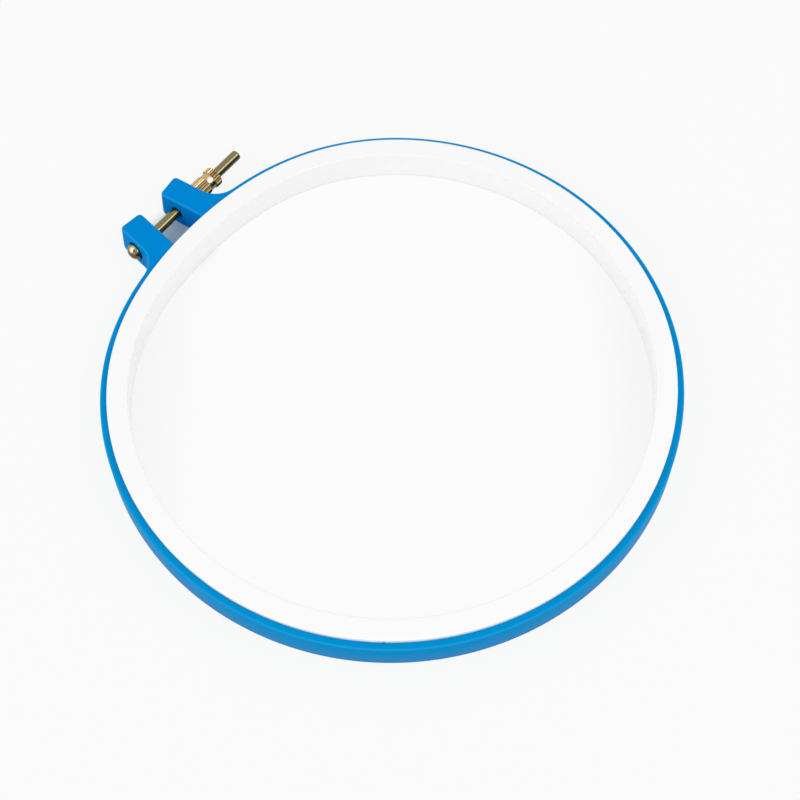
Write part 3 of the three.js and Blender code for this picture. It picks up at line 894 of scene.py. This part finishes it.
class HOOP_OT_clamp_screw(bpy.types.Operator):
    """Builds the threaded clamp screw with its domed head and square neck"""

    bl_idname = "hoop.clamp_screw"
    bl_label = "Clamp screw"

    def execute(self, context):
        scene = context.scene
        finish, screw = scene.hoop_finish, scene.hoop_screw
        piece = piece_from_grid("brass_clamp_screw", clamp_screw_points(screw), close_columns=True)
        neck_end = screw.neck_length - NUT_LOW.x + screw.neck_square / 2

        def depth_share(x, radius):
            return (x > neck_end) * np.clip((screw.radius - radius) / screw.thread_depth, 0, 1)

        mark_grooves(piece.data, depth_share)
        paints = finish.screw_brass, finish.screw_tarnish, finish.screw_under_shade
        material = brass("Screw brass", paints, screw.radius, finish.brass_roughness, amount=0.35, dirt_and_shade=0.3)

        # A painted highlight on top of the dome, and a small painted dark reflection beside its middle
        patch = Vector((SCREW_LOW.x + 0.4 * HEAD_RADIUS, SCREW_Y, SCREW_Z + 0.85 * HEAD_RADIUS))
        beside = patch - Vector((0, 0.3 * HEAD_RADIUS, 0))
        tint(material, spot(material.node_tree, patch, 0.5 * HEAD_RADIUS), finish.screw_painted_highlight)
        tint(material, spot(material.node_tree, beside, 0.25 * HEAD_RADIUS), finish.screw_under_shade)
        finish_piece(piece, "clamp_screw", material)
        return {"FINISHED"}


class HOOP_OT_thumb_nut(bpy.types.Operator):
    """Builds the knurled thumb nut"""

    bl_idname = "hoop.thumb_nut"
    bl_label = "Thumb nut"

    def execute(self, context):
        scene = context.scene
        finish, nut = scene.hoop_finish, scene.hoop_nut
        points = thumb_nut_points(scene.hoop_screw, nut)
        piece = piece_from_grid("brass_thumb_nut", points, close_rows=True, close_columns=True)
        barrel_end = NUT_LOW.x + nut.barrel_length
        mid_neck = barrel_end + nut.neck_length / 2
        neck_dirt = 0.4

        def depth_share(x, radius):
            crest = np.where(x < mid_neck, nut.barrel_radius, FLANGE_RADIUS)
            on_neck = (x > barrel_end) & (x < barrel_end + nut.neck_length)
            return np.where(on_neck, neck_dirt, np.clip((crest - radius) / nut.spline_depth, 0, 1))

        mark_grooves(piece.data, depth_share)
        neck = nut.neck_radius
        paints = finish.nut_brass, finish.nut_tarnish, finish.nut_under_shade
        material = brass("Nut brass", paints, 0.75 * neck, finish.brass_roughness, amount=0.25, dirt_and_shade=1.0)

        # A painted highlight on the neck, up and towards the rings
        patch = (mid_neck, SCREW_Y - 0.47 * neck, SCREW_Z + 0.88 * neck)
        tint(material, spot(material.node_tree, patch, 0.42 * neck), finish.nut_painted_highlight)
        finish_piece(piece, "thumb_nut", material)
        return {"FINISHED"}


def seen_directly(tree):
    """One for what the camera sees, directly, mirrored or through something clear, and none for lighting."""
    path = tree.nodes.new("ShaderNodeLightPath").outputs
    mirrored = maths(tree, "MAXIMUM", path["Is Glossy Ray"], path["Is Transmission Ray"])
    return maths(tree, "MAXIMUM", path["Is Camera Ray"], mirrored)


def camera_axes(stage):
    """The camera's right, up and back directions, worked out from its azimuth and elevation."""
    ca, sa = math.cos(stage.azimuth), math.sin(stage.azimuth)
    ce, se = math.cos(stage.elevation), math.sin(stage.elevation)
    return Vector((ca, sa, 0)), Vector((-sa * se, ca * se, ce)), Vector((sa * ce, -ca * ce, se))


def to_the_side(tree, stage):
    """A mask that rises from none to all towards the rings' left and right, as the camera sees them."""
    none_within, all_beyond = 0.65 * INNER_RADIUS, 0.92 * INNER_RADIUS
    right = camera_axes(stage)[0]
    along = vector_maths(tree, "DOT_PRODUCT", on_piece(tree), right)
    from_middle = maths(tree, "ABSOLUTE", maths(tree, "SUBTRACT", along, right.y * RING_CENTRE_Y))
    return ramp(tree, from_middle, none_within, all_beyond)


def floor_material(stage, lugs):
    """A pale floor that shows as the bright backdrop to the camera, with a share of the object's shadow.

    Inside the rings it is painted a little brighter, with a painted soft shade at the left and right.
    Between the lugs its colour is a painted darker, bluer shade, and all of the shadow shows.
    """
    material = bpy.data.materials.new("Pale floor")
    material.use_nodes = True
    tree = material.node_tree
    tree.nodes.clear()
    gap_middle, gap_reach = (0.0, SCREW_Y - 0.6 * lugs.standoff, 0.0), 1.3 * lugs.gap
    gap = spot(tree, gap_middle, gap_reach)
    inside = spot(tree, (0.0, RING_CENTRE_Y, 0.0), INNER_RADIUS, full=0.93)
    # Painted light inside the rings, with painted shade towards the left and right
    painted_opening_brightness = ramp(tree, to_the_side(tree, stage), 0, 1, stage.painted_opening_brightness, stage.sides)
    brightness = ramp(tree, inside, 0, 1, stage.backdrop, painted_opening_brightness)
    bright_share = ramp(tree, gap, 0, 1, 1 - stage.shadow_share, 0)
    # Painted shade on the floor between the lugs
    paint = mixed(tree, gap, stage.floor_colour, stage.gap_painted_shade)
    mix = add_node(tree, "ShaderNodeMixShader", {
        0: maths(tree, "MULTIPLY", seen_directly(tree), bright_share),
        1: add_node(tree, "ShaderNodeBsdfDiffuse", {"Color": paint}).outputs[0],
        2: add_node(tree, "ShaderNodeEmission", {"Color": WHITE, "Strength": brightness}).outputs[0],
    })
    add_node(tree, "ShaderNodeOutputMaterial", {"Surface": mix.outputs[0]})
    return material


def studio_world(stage):
    """Soft light from all round, stronger overhead and behind the camera, that shows as the backdrop."""
    world = bpy.data.worlds.new("Studio")
    world.use_nodes = True
    tree = world.node_tree
    tree.nodes.clear()
    direction = add_node(tree, "ShaderNodeTexCoord").outputs["Generated"]
    ahead = Vector((math.sin(stage.azimuth), -math.cos(stage.azimuth), 0)) * stage.front
    slope = ahead + Vector((0, 0, stage.rise))
    level = maths(tree, "ADD", vector_maths(tree, "DOT_PRODUCT", direction, slope), stage.horizon)
    strength = ramp(tree, seen_directly(tree), 0, 1, level, stage.backdrop)
    sky = add_node(tree, "ShaderNodeBackground", {"Color": WHITE, "Strength": strength})
    add_node(tree, "ShaderNodeOutputWorld", {"Surface": sky.outputs[0]})
    return world


def aimed(name, data, place, right, up, back):
    """A lamp or camera at a place, with its axes turned to right, up and back."""
    made = object_of(name, data)
    made.matrix_world = Matrix.Translation(place) @ Matrix((right, up, back)).transposed().to_4x4()
    return made


def add_lamp(name, power, towards, width, height):
    """A rectangular lamp that shines on the rings' centre, its width level."""
    light = bpy.data.lights.new(name, "AREA")
    light.shape = "RECTANGLE"
    light.size = width
    light.size_y = height
    light.energy = power
    back = Vector(towards).normalized()
    right = Vector((0, 0, 1)).cross(back).normalized()
    place = Vector((0, RING_CENTRE_Y, 0)) + back * LAMP_DISTANCE
    aimed(name, light, place, right, back.cross(right), back)


class HOOP_OT_stage(bpy.types.Operator):
    """Sets up the floor, the lamps, the world and the photograph's camera"""

    bl_idname = "hoop.stage"
    bl_label = "Stage"

    def execute(self, context):
        scene = context.scene
        stage = scene.hoop_stage
        reach = stage.floor_size / 2
        mesh = bpy.data.meshes.new("floor")
        corners = [(-reach, -reach, 0), (reach, -reach, 0), (reach, reach, 0), (-reach, reach, 0)]
        mesh.from_pydata(corners, [], [(0, 1, 2, 3)])
        mesh.materials.append(floor_material(stage, scene.hoop_lugs))
        object_of("floor", mesh)
        scene.world = studio_world(stage)
        scene.view_settings.view_transform = "Standard"

        right, up, back = camera_axes(stage)
        camera = bpy.data.cameras.new("Camera")
        camera.lens = stage.lens
        camera.clip_start = 0.01
        camera.clip_end = 2 * stage.floor_size
        centre = Vector((0, RING_CENTRE_Y, 0))
        place = centre + right * stage.aim_right + up * stage.aim_up + back * stage.distance
        scene.camera = aimed("Camera", camera, place, right, up, back)
        add_lamp("Strip", stage.strip_power, towards=(0.163, -0.609, 0.777), width=1.6, height=0.45)
        add_lamp("Fill", stage.fill_power, towards=(-0.752, 0.351, 0.558), width=1.1, height=1.1)
        return {"FINISHED"}


class HOOP_PT_sidebar(bpy.types.Panel):
    """Lists what builds the hoop, and its sizes and finish"""

    bl_idname = "HOOP_PT_sidebar"
    bl_label = "Embroidery hoop"
    bl_space_type = "VIEW_3D"
    bl_region_type = "UI"
    bl_category = "Hoop"

    def draw(self, context):
        for operator in OPERATORS:
            self.layout.operator(operator.bl_idname)
        for label in SETTINGS:
            group = getattr(context.scene, label)
            box = self.layout.box()
            for name in group.__annotations__:
                box.prop(group, name)


SETTINGS = {
    "hoop_rings": HoopRingSizes,
    "hoop_lugs": HoopLugSizes,
    "hoop_screw": HoopScrewSizes,
    "hoop_nut": HoopNutSizes,
    "hoop_finish": HoopFinish,
    "hoop_stage": HoopStage,
}
OPERATORS = (HOOP_OT_outer_ring, HOOP_OT_inner_ring, HOOP_OT_clamp_screw, HOOP_OT_thumb_nut, HOOP_OT_stage)
CLASSES = (*SETTINGS.values(), *OPERATORS, HOOP_PT_sidebar)


def register():
    """Registers the classes and puts the settings on the scene."""
    for kind in CLASSES:
        bpy.utils.register_class(kind)
    for label, kind in SETTINGS.items():
        setattr(bpy.types.Scene, label, PointerProperty(type=kind))


def unregister():
    """Takes the settings off the scene and unregisters the classes."""
    for label in SETTINGS:
        delattr(bpy.types.Scene, label)
    for kind in reversed(CLASSES):
        bpy.utils.unregister_class(kind)


def main():
    """Builds every piece and the stage."""
    register()
    bpy.ops.hoop.stage()
    bpy.ops.hoop.outer_ring()
    bpy.ops.hoop.inner_ring()
    bpy.ops.hoop.clamp_screw()
    bpy.ops.hoop.thumb_nut()


if __name__ == "__main__":
    main()
